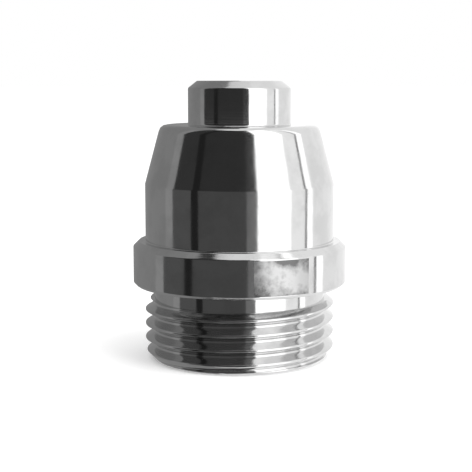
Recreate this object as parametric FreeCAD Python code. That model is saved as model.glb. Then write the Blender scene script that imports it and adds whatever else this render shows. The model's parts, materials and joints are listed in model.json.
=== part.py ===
import FreeCAD, Part

import math
import os

# A plasma torch nozzle: one piece of copper, turned from bar with a round flange,
# threaded M20 x 1.5 and plated. It stands on its threaded end, with that end face's
# centre at the origin and the torch axis up +Z, towards the tip.

# Driving dimensions, in millimetres and degrees.
# Thread and its undercut
THREAD_D = 20.0
THREAD_PITCH = 1.5
THREADED_LENGTH = 6.3
END_CHAMFER = 1.0
UNDERCUT_LENGTH = 1.6
UNDERCUT_BELOW_ROOT = 0.05
THREAD_START_DEG = 175.0  # where the groove's middle runs out of the end face, from +X

# Flange that seats on the torch head
FLANGE_D = 22.5
FLANGE_HEIGHT = 4.6
FLANGE_TOP_CHAMFER = 0.6
FLANGE_UNDER_CHAMFER = 0.3

# Body, cone and shoulder
BODY_D = 19.9
BODY_HEIGHT = 6.0
CONE_HEIGHT = 6.15
SHOULDER_D = 16.6
SHOULDER_EDGE_R = 0.9

# Tip boss round the arc orifice
BOSS_D = 10.8
BOSS_HEIGHT = 4.55
BOSS_EDGE_IN = 0.95
BOSS_EDGE_DOWN = 0.75

# Bore: the electrode chamber, its conical floor and the arc orifice
CHAMBER_D = 12.5
CHAMBER_MOUTH_CHAMFER = 0.5
FLOOR_SLOPE_DEG = 45.0
ORIFICE_D = 1.5
ORIFICE_LENGTH = 3.6

# Heights of the steps, from the end face up
UNDERCUT_Z = THREADED_LENGTH
FLANGE_Z = UNDERCUT_Z + UNDERCUT_LENGTH
FLANGE_TOP_Z = FLANGE_Z + FLANGE_HEIGHT
CONE_Z = FLANGE_TOP_Z + BODY_HEIGHT
SHOULDER_Z = CONE_Z + CONE_HEIGHT
TIP_Z = SHOULDER_Z + BOSS_HEIGHT

# ISO metric profile: flats of an eighth of the pitch on the crests and a sixth in the
# roots, joined by flanks 30 degrees from square to the axis
FLANK_DEG = 30.0
CREST_FLAT = THREAD_PITCH / 8
ROOT_FLAT = THREAD_PITCH / 6
FLANK_SLOPE = math.tan(math.radians(FLANK_DEG))
THREAD_DEPTH = (THREAD_PITCH - CREST_FLAT - ROOT_FLAT) / (2 * FLANK_SLOPE)
ROOT_R = THREAD_D / 2 - THREAD_DEPTH
UNDERCUT_R = ROOT_R - UNDERCUT_BELOW_ROOT

AXIS = FreeCAD.Vector(0, 0, 1)
CENTRE = FreeCAD.Vector(0, 0, 0)


def section_point(radius, height):
    return FreeCAD.Vector(radius, 0, height)


def rounded_wire(corners):
    """A closed wire in the XZ plane through (radius, height, corner radius) corners.

    Each corner with a radius becomes an arc that touches both of its sides.
    """
    starts, ends, arcs = [], [], []
    for i, (r, z, corner_r) in enumerate(corners):
        here = section_point(r, z)
        back = (section_point(*corners[i - 1][:2]) - here).normalize()
        on = (section_point(*corners[(i + 1) % len(corners)][:2]) - here).normalize()
        if not corner_r:
            starts.append(here)
            ends.append(here)
            continue
        half = back.getAngle(on) / 2
        reach = corner_r / math.tan(half)
        first, last = here + back * reach, here + on * reach
        inward = (back + on).normalize()
        middle = here + inward * (corner_r / math.sin(half) - corner_r)
        arcs.append(Part.Arc(first, middle, last).toShape())
        starts.append(first)
        ends.append(last)
    sides = [
        Part.LineSegment(ends[i - 1], starts[i]).toShape() for i in range(len(corners))
    ]
    return Part.Wire(Part.sortEdges(sides + arcs)[0])


def turned_blank():
    """The whole turned form, outside and bore, as one section spun round the axis."""
    outside = [
        (THREAD_D / 2 - END_CHAMFER, 0, 0),
        (THREAD_D / 2, END_CHAMFER, 0),
        (THREAD_D / 2, UNDERCUT_Z, 0),
        (UNDERCUT_R, UNDERCUT_Z, 0),
        (UNDERCUT_R, FLANGE_Z, 0),
        (FLANGE_D / 2 - FLANGE_UNDER_CHAMFER, FLANGE_Z, 0),
        (FLANGE_D / 2, FLANGE_Z + FLANGE_UNDER_CHAMFER, 0),
        (FLANGE_D / 2, FLANGE_TOP_Z - FLANGE_TOP_CHAMFER, 0),
        (FLANGE_D / 2 - FLANGE_TOP_CHAMFER, FLANGE_TOP_Z, 0),
        (BODY_D / 2, FLANGE_TOP_Z, 0),
        (BODY_D / 2, CONE_Z, 0),
        (SHOULDER_D / 2, SHOULDER_Z, SHOULDER_EDGE_R),
        (BOSS_D / 2, SHOULDER_Z, 0),
        (BOSS_D / 2, TIP_Z - BOSS_EDGE_DOWN, 0),
        (BOSS_D / 2 - BOSS_EDGE_IN, TIP_Z, 0),
    ]
    orifice_z = TIP_Z - ORIFICE_LENGTH
    floor_height = (CHAMBER_D - ORIFICE_D) / 2 * math.tan(math.radians(FLOOR_SLOPE_DEG))
    bore = [
        (ORIFICE_D / 2, TIP_Z, 0),
        (ORIFICE_D / 2, orifice_z, 0),
        (CHAMBER_D / 2, orifice_z - floor_height, 0),
        (CHAMBER_D / 2, CHAMBER_MOUTH_CHAMFER, 0),
        (CHAMBER_D / 2 + CHAMBER_MOUTH_CHAMFER, 0, 0),
    ]
    section = Part.Face(rounded_wire(outside + bore))
    return section.revolve(CENTRE, AXIS, 360)


def thread_groove():
    """The right-hand V groove: its section swept up a helix into the undercut.

    It starts a turn below the end face, and ends in the middle of the undercut, where it
    meets no metal. Its mouth is carried out past the crests, but not as far as the next
    turn of itself.
    """
    past_crest = CREST_FLAT / 4 / FLANK_SLOPE
    root_half = ROOT_FLAT / 2
    mouth_half = root_half + (THREAD_DEPTH + past_crest) * FLANK_SLOPE
    mouth_r = THREAD_D / 2 + past_crest
    below = -THREAD_PITCH
    corners = [
        section_point(ROOT_R, below - root_half),
        section_point(mouth_r, below - mouth_half),
        section_point(mouth_r, below + mouth_half),
        section_point(ROOT_R, below + root_half),
    ]
    section = Part.makePolygon(corners + corners[:1])
    rise = UNDERCUT_Z + UNDERCUT_LENGTH / 2 - below
    helix = Part.makeHelix(THREAD_PITCH, rise, ROOT_R)
    helix.translate(section_point(0, below))
    return Part.Wire(helix.Edges).makePipeShell([section], True, True)


def nozzle():
    """Turned and threaded, then set so that the groove runs out where it should."""
    threaded = turned_blank().cut(thread_groove())
    return threaded.rotate(CENTRE, AXIS, THREAD_START_DEG)


os.makedirs("parts", exist_ok=True)
shape = nozzle()
shape.exportStep("parts/nozzle.step")
print(f"nozzle: volume {shape.Volume:.1f} mm3, height {TIP_Z:.2f} mm")
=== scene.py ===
# %% [markdown]
# # A plasma torch nozzle, chrome plated
#
# The nozzle is the copper cap at the front of a plasma torch. A lathe turns it from bar
# and cuts the thread, and plating makes it bright. This lesson loads the exact solid from
# CAD as a frame, builds a finer skin over it, gives the skin a polished-metal finish, and
# puts it in a small light tent. Everything is in metres.

# %% Load the frame
import json
import math

import bmesh
import bpy
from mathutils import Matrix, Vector


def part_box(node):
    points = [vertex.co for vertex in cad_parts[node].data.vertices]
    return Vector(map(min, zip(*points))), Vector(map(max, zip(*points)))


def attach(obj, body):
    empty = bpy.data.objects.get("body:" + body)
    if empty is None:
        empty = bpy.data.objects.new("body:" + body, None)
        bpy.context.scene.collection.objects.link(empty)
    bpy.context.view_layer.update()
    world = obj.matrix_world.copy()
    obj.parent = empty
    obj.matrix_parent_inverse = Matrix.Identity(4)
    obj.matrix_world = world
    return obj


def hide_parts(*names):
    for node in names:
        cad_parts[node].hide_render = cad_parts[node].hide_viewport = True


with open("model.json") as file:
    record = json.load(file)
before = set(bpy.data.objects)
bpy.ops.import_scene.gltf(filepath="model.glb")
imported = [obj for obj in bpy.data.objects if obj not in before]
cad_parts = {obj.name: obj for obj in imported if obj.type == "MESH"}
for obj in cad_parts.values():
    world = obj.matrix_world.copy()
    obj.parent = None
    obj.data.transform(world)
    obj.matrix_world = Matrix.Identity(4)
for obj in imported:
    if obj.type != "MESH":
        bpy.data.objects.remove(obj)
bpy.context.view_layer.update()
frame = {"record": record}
low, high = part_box("nozzle")

# %% [markdown]
# ## Two helpers for materials
#
# Screens show colours in sRGB, and Blender mixes light in linear values, so one function
# turns a written colour such as "#C4C4C4" into the linear one. The other adds a node to a
# material, sets it and links it, because every shader here is a handful of such nodes.

# %% Colour and node helpers
MM = 0.001


def linear(hex_colour):
    """The linear RGBA of an sRGB hex colour."""
    values = [int(hex_colour[i : i + 2], 16) / 255 for i in (1, 3, 5)]
    steps = [v / 12.92 if v <= 0.04045 else ((v + 0.055) / 1.055) ** 2.4 for v in values]
    return (*steps, 1.0)


def add_node(tree, kind, inputs=None, **settings):
    """A node with its settings, and its inputs as values or as sockets to link from."""
    node = tree.nodes.new(kind)
    for name, value in settings.items():
        setattr(node, name, value)
    for key, value in (inputs or {}).items():
        if isinstance(value, bpy.types.NodeSocket):
            tree.links.new(value, node.inputs[key])
        else:
            node.inputs[key].default_value = value
    return node


print("mid grey in linear light:", round(linear("#808080")[0], 3))

# %% [markdown]
# ## The section of the turned form
#
# Everything round on the nozzle comes from one line: its section. The section is read
# from the tip down the outside and back up the bore, as corners with a radius and a
# height in millimetres. Plating rounds every machined edge a little, and that thin
# rounding is what catches the light, so each corner also has an edge radius.

# %% Sizes of the turned form
mounts = {m["name"]: m for m in frame["record"]["mounts"]}
THREAD_R = mounts["torch_thread"]["dims"]["r_mm"]
BODY_R = mounts["body_collar"]["dims"]["r_mm"]
CHAMBER_R = mounts["electrode_chamber"]["dims"]["r_mm"]
TIP_Z = high.z / MM

UNDERCUT_Z, FLANGE_Z, FLANGE_TOP_Z, CONE_Z, SHOULDER_Z = 6.3, 7.9, 12.5, 18.5, 24.65
FLANGE_R, TOP_CHAMFER, UNDER_CHAMFER = high.x / MM, 0.6, 0.3
SHOULDER_R, SHOULDER_EDGE = 8.3, 0.9
BOSS_R, BOSS_EDGE_IN, BOSS_EDGE_DOWN = 5.4, 0.95, 0.75
ORIFICE_R, ORIFICE_LENGTH = 0.75, 3.6
END_CHAMFER, MOUTH_CHAMFER = 1.0, 0.5
print("thread, body and chamber radii, mm:", THREAD_R, BODY_R, CHAMBER_R)

# %% Thread profile
PITCH = 1.5
FLANK_RUN = math.tan(math.radians(30))
ROOT_HALF = PITCH / 12
THREAD_DEPTH = (PITCH - PITCH / 8 - PITCH / 6) / (2 * FLANK_RUN)
ROOT_R = THREAD_R - THREAD_DEPTH
UNDERCUT_R = ROOT_R - 0.05
THREAD_START = math.radians(175)  # where the groove runs out of the end face


def cut_radius(from_groove):
    """Radius of a sharp metric thread at a distance along the axis from a groove."""
    away = abs((from_groove + PITCH / 2) % PITCH - PITCH / 2)
    return min(THREAD_R, ROOT_R + max(0, away - ROOT_HALF) / FLANK_RUN)


def thread_radius(from_groove, soften=0.03):
    """The same, with its corners softened as a tool nose and plating leave them."""
    sides = cut_radius(from_groove - soften) + cut_radius(from_groove + soften)
    return min(sides / 2, THREAD_R)


print("thread depth, mm:", round(THREAD_DEPTH, 3))

# %% Round the corners of a section
def rounded(corners, steps=3, hold=0.07):
    """Points along (radius, height, edge radius) corners, with an arc in each corner.

    A row of points stays close to each end of an arc, so that smooth shading bends
    only there and the long faces between the edges stay flat.
    """
    points = []
    for i, (r, z, edge) in enumerate(corners):
        here = Vector((r, z))
        if not edge or i in (0, len(corners) - 1):
            points.append(tuple(here))
            continue
        back = Vector(corners[i - 1][:2]) - here
        on = Vector(corners[i + 1][:2]) - here
        room = min(back.length, on.length) / 2
        back.normalize()
        on.normalize()
        half = back.angle(on, math.pi) / 2
        reach = min(edge / math.tan(half), room * 0.8)
        support = min(hold, room * 0.15)
        first, last = here + back * reach, here + on * reach
        points.append(tuple(first + back * support))
        for s in range(steps + 1):
            t = s / steps
            points.append(tuple(first * (1 - t) ** 2 + here * 2 * t * (1 - t) + last * t**2))
        points.append(tuple(last + on * support))
    return points


print("points on one rounded corner:", len(rounded([(1, 0, 0), (1, 1, 0.1), (0, 1, 0)])) - 2)

# %% [markdown]
# ## The skin
#
# The skin is a grid bent into a tube: columns go round the axis and rows run along the
# section. On the thread the rows climb by one pitch a turn, so the crests and roots lie
# along the rows and stay crisp. A lathe profile with the Screw modifier would be quicker,
# but it can't stop the thread cleanly in its undercut and its end chamfer.

# %% Columns round the axis and the two ends of the section
COLUMNS = 320
angles = [i * math.tau / COLUMNS for i in range(COLUMNS + 1)]
outside_corners = [
    (ORIFICE_R, TIP_Z - 1, 0),
    (ORIFICE_R, TIP_Z, 0.06),
    (BOSS_R - BOSS_EDGE_IN, TIP_Z, 0.2),
    (BOSS_R, TIP_Z - BOSS_EDGE_DOWN, 0.2),
    (BOSS_R, SHOULDER_Z, 0.15),
    (SHOULDER_R, SHOULDER_Z, SHOULDER_EDGE),
    (BODY_R, CONE_Z, 0.25),
    (BODY_R, FLANGE_TOP_Z, 0.08),
    (FLANGE_R - TOP_CHAMFER, FLANGE_TOP_Z, 0.1),
    (FLANGE_R, FLANGE_TOP_Z - TOP_CHAMFER, 0.1),
    (FLANGE_R, FLANGE_Z + UNDER_CHAMFER, 0.06),
    (FLANGE_R - UNDER_CHAMFER, FLANGE_Z, 0.06),
    (UNDERCUT_R, FLANGE_Z, 0.1),
    (UNDERCUT_R, UNDERCUT_Z, 0),
]
floor_z = TIP_Z - ORIFICE_LENGTH
inside_corners = [
    (THREAD_R - END_CHAMFER, 0, 0),
    (CHAMBER_R + MOUTH_CHAMFER, 0, 0.05),
    (CHAMBER_R, MOUTH_CHAMFER, 0.05),
    (CHAMBER_R, floor_z - (CHAMBER_R - ORIFICE_R), 0.2),
    (ORIFICE_R, floor_z, 0.05),
    (ORIFICE_R, TIP_Z - 1, 0),
]
print("columns:", COLUMNS, "corners:", len(outside_corners) + len(inside_corners))

# %% Thread rows at one angle
SIDE_STEPS = (0.0, 0.08, 0.11, 0.14, 0.17, 0.27, 0.37, 0.47, 0.56, 0.61, 0.64, 0.67, 0.7)
ROW_OFFSETS = [-PITCH / 2, *(-s for s in reversed(SIDE_STEPS[1:])), *SIDE_STEPS]
TURNS = range(6, -3, -1)  # more than the thread has: what is past its ends is held there


def thread_rows(angle):
    """Points down the thread at an angle, held between the undercut and the end face."""
    rise = PITCH * (angle - THREAD_START) / math.tau
    points = []
    for turn in TURNS:
        for offset in reversed(ROW_OFFSETS):
            z = min(max(rise + turn * PITCH + offset, 0), UNDERCUT_Z)
            chamfer_r = THREAD_R - END_CHAMFER + z
            points.append((min(thread_radius(z - rise), chamfer_r), z))
    return points


print("thread rows:", len(thread_rows(0)))

# %% Build the skin
MERGE, COLLAPSE = 0.0002 * MM, 0.0001 * MM
SHARP_ANGLE = math.radians(38)


def build_skin():
    """The whole closed skin as one mesh."""
    mesh = bpy.data.meshes.new("nozzle_skin")
    bm = bmesh.new()
    outside, inside = rounded(outside_corners), rounded(inside_corners)
    grid = []
    for angle in angles:
        ray = Vector((math.cos(angle), math.sin(angle), 0))
        section = outside + thread_rows(angle) + inside
        grid.append([bm.verts.new((ray * r + Vector((0, 0, z))) * MM) for r, z in section])
    for left, right in zip(grid, grid[1:]):
        for row in range(len(left)):
            on = (row + 1) % len(left)
            bm.faces.new((left[row], left[on], right[on], right[row]))
    bmesh.ops.remove_doubles(bm, verts=bm.verts, dist=MERGE)
    bmesh.ops.dissolve_degenerate(bm, edges=bm.edges, dist=COLLAPSE)
    bmesh.ops.recalc_face_normals(bm, faces=bm.faces)
    open_edges = sum(1 for edge in bm.edges if len(edge.link_faces) != 2)
    for face in bm.faces:
        face.smooth = True
    bm.to_mesh(mesh)
    bm.free()
    mesh.set_sharp_from_angle(angle=SHARP_ANGLE)
    print("edges that don't join two faces:", open_edges)
    return bpy.data.objects.new("nozzle_skin", mesh)


skin = build_skin()
bpy.context.scene.collection.objects.link(skin)
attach(skin, "root")
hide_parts("nozzle")
triangles = sum(len(p.vertices) - 2 for p in skin.data.polygons)
print("skin triangles:", triangles)

# %% [markdown]
# ## Bright chrome plating on turned copper
#
# Decorative chrome over nickel is a mirror with a cool grey tint. The lathe leaves rings
# finer than a hair, and the plating follows them, so highlights smear a little along the
# axis. A noise stretched into rings gives that, and two more noises add the handling
# marks and the slight waviness that break up the mirror.

# %% Plating on the turned faces
RING_MM = 0.09  # a turning feed is about 0.05 mm: drawn coarser, so that it shows
HAZE_MM = 3.0
WAVE_MM = 2.2


def plating(name, base, mottle_colour, roughness, bump):
    """A polished metal with rings round the axis, haze and a slight wave.

    Its colour runs between its two colours, and its roughness across its range, with the haze.
    Where the two colours are dark, that mottled colour is painted reflection.
    """
    material = bpy.data.materials.new(name)
    material.use_nodes = True
    tree = material.node_tree
    tree.nodes.clear()
    place = add_node(tree, "ShaderNodeTexCoord").outputs["Object"]
    stretched = add_node(
        tree, "ShaderNodeMapping", {"Vector": place, "Scale": (60, 60, 1 / (RING_MM * MM))}
    )
    rings = add_node(
        tree, "ShaderNodeTexNoise",
        {"Vector": stretched.outputs[0], "Scale": 1.0, "Detail": 2.0},
    )
    haze = add_node(
        tree, "ShaderNodeTexNoise",
        {"Vector": place, "Scale": 1 / (HAZE_MM * MM), "Detail": 6.0, "Roughness": 0.6},
    )
    wave = add_node(
        tree, "ShaderNodeTexNoise",
        {"Vector": place, "Scale": 1 / (WAVE_MM * MM), "Detail": 1.0},
    )
    rough = add_node(
        tree, "ShaderNodeMapRange",
        {"Value": haze.outputs[0], "From Min": 0.3, "From Max": 0.75,
         "To Min": roughness[0], "To Max": roughness[1]},
    )
    fine = add_node(
        tree, "ShaderNodeBump",
        {"Height": rings.outputs[0], "Strength": bump[0], "Distance": 0.01 * MM},
    )
    broad = add_node(
        tree, "ShaderNodeBump",
        {"Height": wave.outputs[0], "Normal": fine.outputs[0], "Strength": bump[1],
         "Distance": 0.05 * MM},
    )
    tint = add_node(
        tree, "ShaderNodeMapRange",
        {"Value": haze.outputs[0], "From Min": 0.42, "From Max": 0.6},
    )
    colour = add_node(
        tree, "ShaderNodeMix",
        {"Factor": tint.outputs[0], "A": linear(base), "B": linear(mottle_colour)},
        data_type="RGBA",
    )
    shader = add_node(
        tree, "ShaderNodeBsdfPrincipled",
        {"Base Color": colour.outputs["Result"], "Metallic": 1.0, "Roughness": rough.outputs[0],
         "Normal": broad.outputs[0]},
    )
    add_node(tree, "ShaderNodeOutputMaterial", {"Surface": shader.outputs[0]})
    return material


# %% [markdown]
# ## A patch of painted reflection on the flange
#
# Handling dulls bright plating where it is touched, and one patch on the flange's side is
# made rougher so. Its colour is also painted dark and mottled: painted reflection, standing
# in for dark things round the nozzle that the flange mirrors. A second material on those
# faces is enough, because the patch is plain and needs no edge of its own.

# %% Bright finish and a patch of painted reflection
turned_chrome = plating("chrome_on_turned", "#CFCFCF", "#C6C6C6", (0.06, 0.16), (0.25, 0.2))
# Dark base colours #626262 to #B4B4B4 are painted reflection on the flange patch; its higher
# roughness is its own
chrome_with_painted_reflection = plating("chrome_painted_reflection_patch", "#626262", "#B4B4B4", (0.2, 0.4), (0.3, 0.8))
skin.data.materials.append(turned_chrome)
skin.data.materials.append(chrome_with_painted_reflection)
# Where the painted reflection lies: an arc of the flange's side, between two heights
REFLECTION_PATCH_FROM, REFLECTION_PATCH_TO = math.radians(258), math.radians(288)  # round the axis, from +X
REFLECTION_PATCH_LOW, REFLECTION_PATCH_HIGH = FLANGE_Z + 0.7, FLANGE_TOP_Z - 0.9
REFLECTION_PATCH_INNER_R = BODY_R + 1
for face in skin.data.polygons:
    x, y, z = face.center / MM
    round_axis = math.atan2(y, x) % math.tau
    on_flange = REFLECTION_PATCH_LOW < z < REFLECTION_PATCH_HIGH and math.hypot(x, y) > REFLECTION_PATCH_INNER_R
    if on_flange and REFLECTION_PATCH_FROM < round_axis < REFLECTION_PATCH_TO:
        face.material_index = 1
print("finishes:", [m.name for m in skin.data.materials])

# %% [markdown]
# ## The floor and the room
#
# A mirror shows the room more than itself, so the room is most of the finish. The floor
# and the world are plain and white. Round the nozzle stand curved cards, as in a product
# studio: dark flags that draw the deep stripes, and soft light panels that draw the
# bright ones. Only reflections see them.

# %% Floor and world
def white_paper():
    """Matt white paper that the camera sees as pure white, outside the shadow."""
    material = bpy.data.materials.new("white_paper")
    material.use_nodes = True
    tree = material.node_tree
    tree.nodes.clear()
    seen = add_node(tree, "ShaderNodeLightPath").outputs["Is Camera Ray"]
    lift = add_node(
        tree, "ShaderNodeMath", {0: seen, 1: 0.2}, operation="MULTIPLY"
    ).outputs[0]
    matt = add_node(tree, "ShaderNodeBsdfDiffuse", {"Color": linear("#F4F4F4")})
    glow = add_node(tree, "ShaderNodeEmission", {"Strength": lift})
    both = add_node(tree, "ShaderNodeAddShader", {0: matt.outputs[0], 1: glow.outputs[0]})
    add_node(tree, "ShaderNodeOutputMaterial", {"Surface": both.outputs[0]})
    return material


floor_mesh = bpy.data.meshes.new("floor")
REACH = 4.0
corners = [(-REACH, -REACH), (REACH, -REACH), (REACH, REACH), (-REACH, REACH)]
floor_mesh.from_pydata([(x, y, low.z) for x, y in corners], [], [(0, 1, 2, 3)])
floor = bpy.data.objects.new("floor", floor_mesh)
bpy.context.scene.collection.objects.link(floor)
floor_mesh.materials.append(white_paper())
floor.visible_glossy = False  # the cards carry on below it, as in a light tent

world = bpy.data.worlds.new("white_room")
bpy.context.scene.world = world
world.use_nodes = True
background = world.node_tree.nodes["Background"]
background.inputs["Color"].default_value = (1, 1, 1, 1)
background.inputs["Strength"].default_value = 1.0
print("floor at height, mm:", round(low.z / MM, 3))

# %% Cards round the nozzle
VIEW_DEG = 250.35
CARD_R = 75 * MM
CARD_TOP = 260 * MM


def card(name, start_deg, end_deg, grey, strength, bottom, top):
    """A curved card that only reflections see; degrees run to the camera's right."""
    material = bpy.data.materials.new(name)
    material.use_nodes = True
    tree = material.node_tree
    tree.nodes.clear()
    glow = add_node(tree, "ShaderNodeEmission", {"Color": linear(grey), "Strength": strength})
    add_node(tree, "ShaderNodeOutputMaterial", {"Surface": glow.outputs[0]})
    steps = max(2, round(abs(end_deg - start_deg) / 4))
    verts, faces = [], []
    for i in range(steps + 1):
        turn = math.radians(VIEW_DEG + start_deg + (end_deg - start_deg) * i / steps)
        x, y = CARD_R * math.cos(turn), CARD_R * math.sin(turn)
        verts += [(x, y, bottom), (x, y, top)]
    for i in range(steps):
        faces.append((2 * i, 2 * i + 2, 2 * i + 3, 2 * i + 1))
    mesh = bpy.data.meshes.new(name)
    mesh.from_pydata(verts, [], faces)
    mesh.materials.append(material)
    panel = bpy.data.objects.new(name, mesh)
    bpy.context.scene.collection.objects.link(panel)
    for ray in ("camera", "diffuse", "transmission", "volume_scatter", "shadow"):
        setattr(panel, f"visible_{ray}", False)
    return panel


SPLIT = 22 * MM
CARDS = [
    ("grey_wall", -180, -94, "#909090", 1.0, -CARD_TOP, CARD_TOP),
    ("grey_edge", -94, -82, "#9C9C9C", 1.0, -CARD_TOP, CARD_TOP),
    ("flag_far_low", -82, -56, "#5A5A5A", 1.0, -CARD_TOP, SPLIT),
    ("flag_far_high", -82, -56, "#3C3C3C", 1.0, SPLIT, CARD_TOP),
    ("flag_deep", -56, -47, "#262626", 1.0, -CARD_TOP, CARD_TOP),
    ("flag_front_low", -47, 8, "#525252", 1.0, -CARD_TOP, SPLIT),
    ("flag_front_high", -47, 8, "#383838", 1.0, SPLIT, CARD_TOP),
    ("flag_edge_low", 8, 20, "#808080", 1.0, -CARD_TOP, SPLIT),
    ("flag_edge_high", 8, 20, "#484848", 1.0, SPLIT, CARD_TOP),
    ("key_panel", 20, 60, "#FFFFFF", 2.0, -CARD_TOP, CARD_TOP),
    ("fill_panel", 60, 80, "#FFFFFF", 1.25, -CARD_TOP, CARD_TOP),
    ("dark_slat", 80, 83.5, "#9A9A9A", 1.0, -CARD_TOP, CARD_TOP),
    ("side_panel", 83.5, 93, "#FFFFFF", 1.8, -CARD_TOP, CARD_TOP),
    ("right_wall", 93, 180, "#FFFFFF", 1.15, -CARD_TOP, CARD_TOP),
]
for entry in CARDS:
    card(*entry)
print("cards:", len(CARDS))

# %% [markdown]
# ## Lamp and camera
#
# One large soft lamp from above and the front right gives the floor a faint shadow. The
# camera stands at about the height of the tip and looks slightly down, through a long
# lens, a hand's breadth away.

# %% Lamp
lamp_data = bpy.data.lights.new("soft_lamp", "AREA")
lamp_data.shape = "SQUARE"
lamp_data.size = 0.3
lamp_data.energy = 1.2
lamp = bpy.data.objects.new("soft_lamp", lamp_data)
bpy.context.scene.collection.objects.link(lamp)
lamp.location = (0.15, -0.25, 0.45)
LAMP_AIM = Vector((0, 0, 0.01))
lamp.rotation_euler = (LAMP_AIM - lamp.location).to_track_quat("-Z", "Y").to_euler()
print("lamp power, W:", lamp_data.energy)

# %% Camera
VIEW_DISTANCE, VIEW_HEIGHT, AIM_HEIGHT, AIM_LEFT = (v * MM for v in (127.4, 29.4, 12.85, 0.37))
turn = math.radians(VIEW_DEG)
outward = Vector((math.cos(turn), math.sin(turn), 0))
to_left = Vector((math.sin(turn), -math.cos(turn), 0))
eye = outward * VIEW_DISTANCE + Vector((0, 0, VIEW_HEIGHT))
aim = Vector((0, 0, AIM_HEIGHT)) + to_left * AIM_LEFT
camera_data = bpy.data.cameras.new("camera")
camera_data.lens = 92.3
camera_data.sensor_width = 36
camera_data.clip_start = 0.01
camera = bpy.data.objects.new("camera", camera_data)
bpy.context.scene.collection.objects.link(camera)
camera.location = eye
camera.rotation_euler = (aim - eye).to_track_quat("-Z", "Y").to_euler()
bpy.context.scene.camera = camera
bpy.context.scene.view_settings.view_transform = "Standard"
print("camera looks down by, deg:", round(math.degrees(math.asin((eye - aim).normalized().z)), 1))
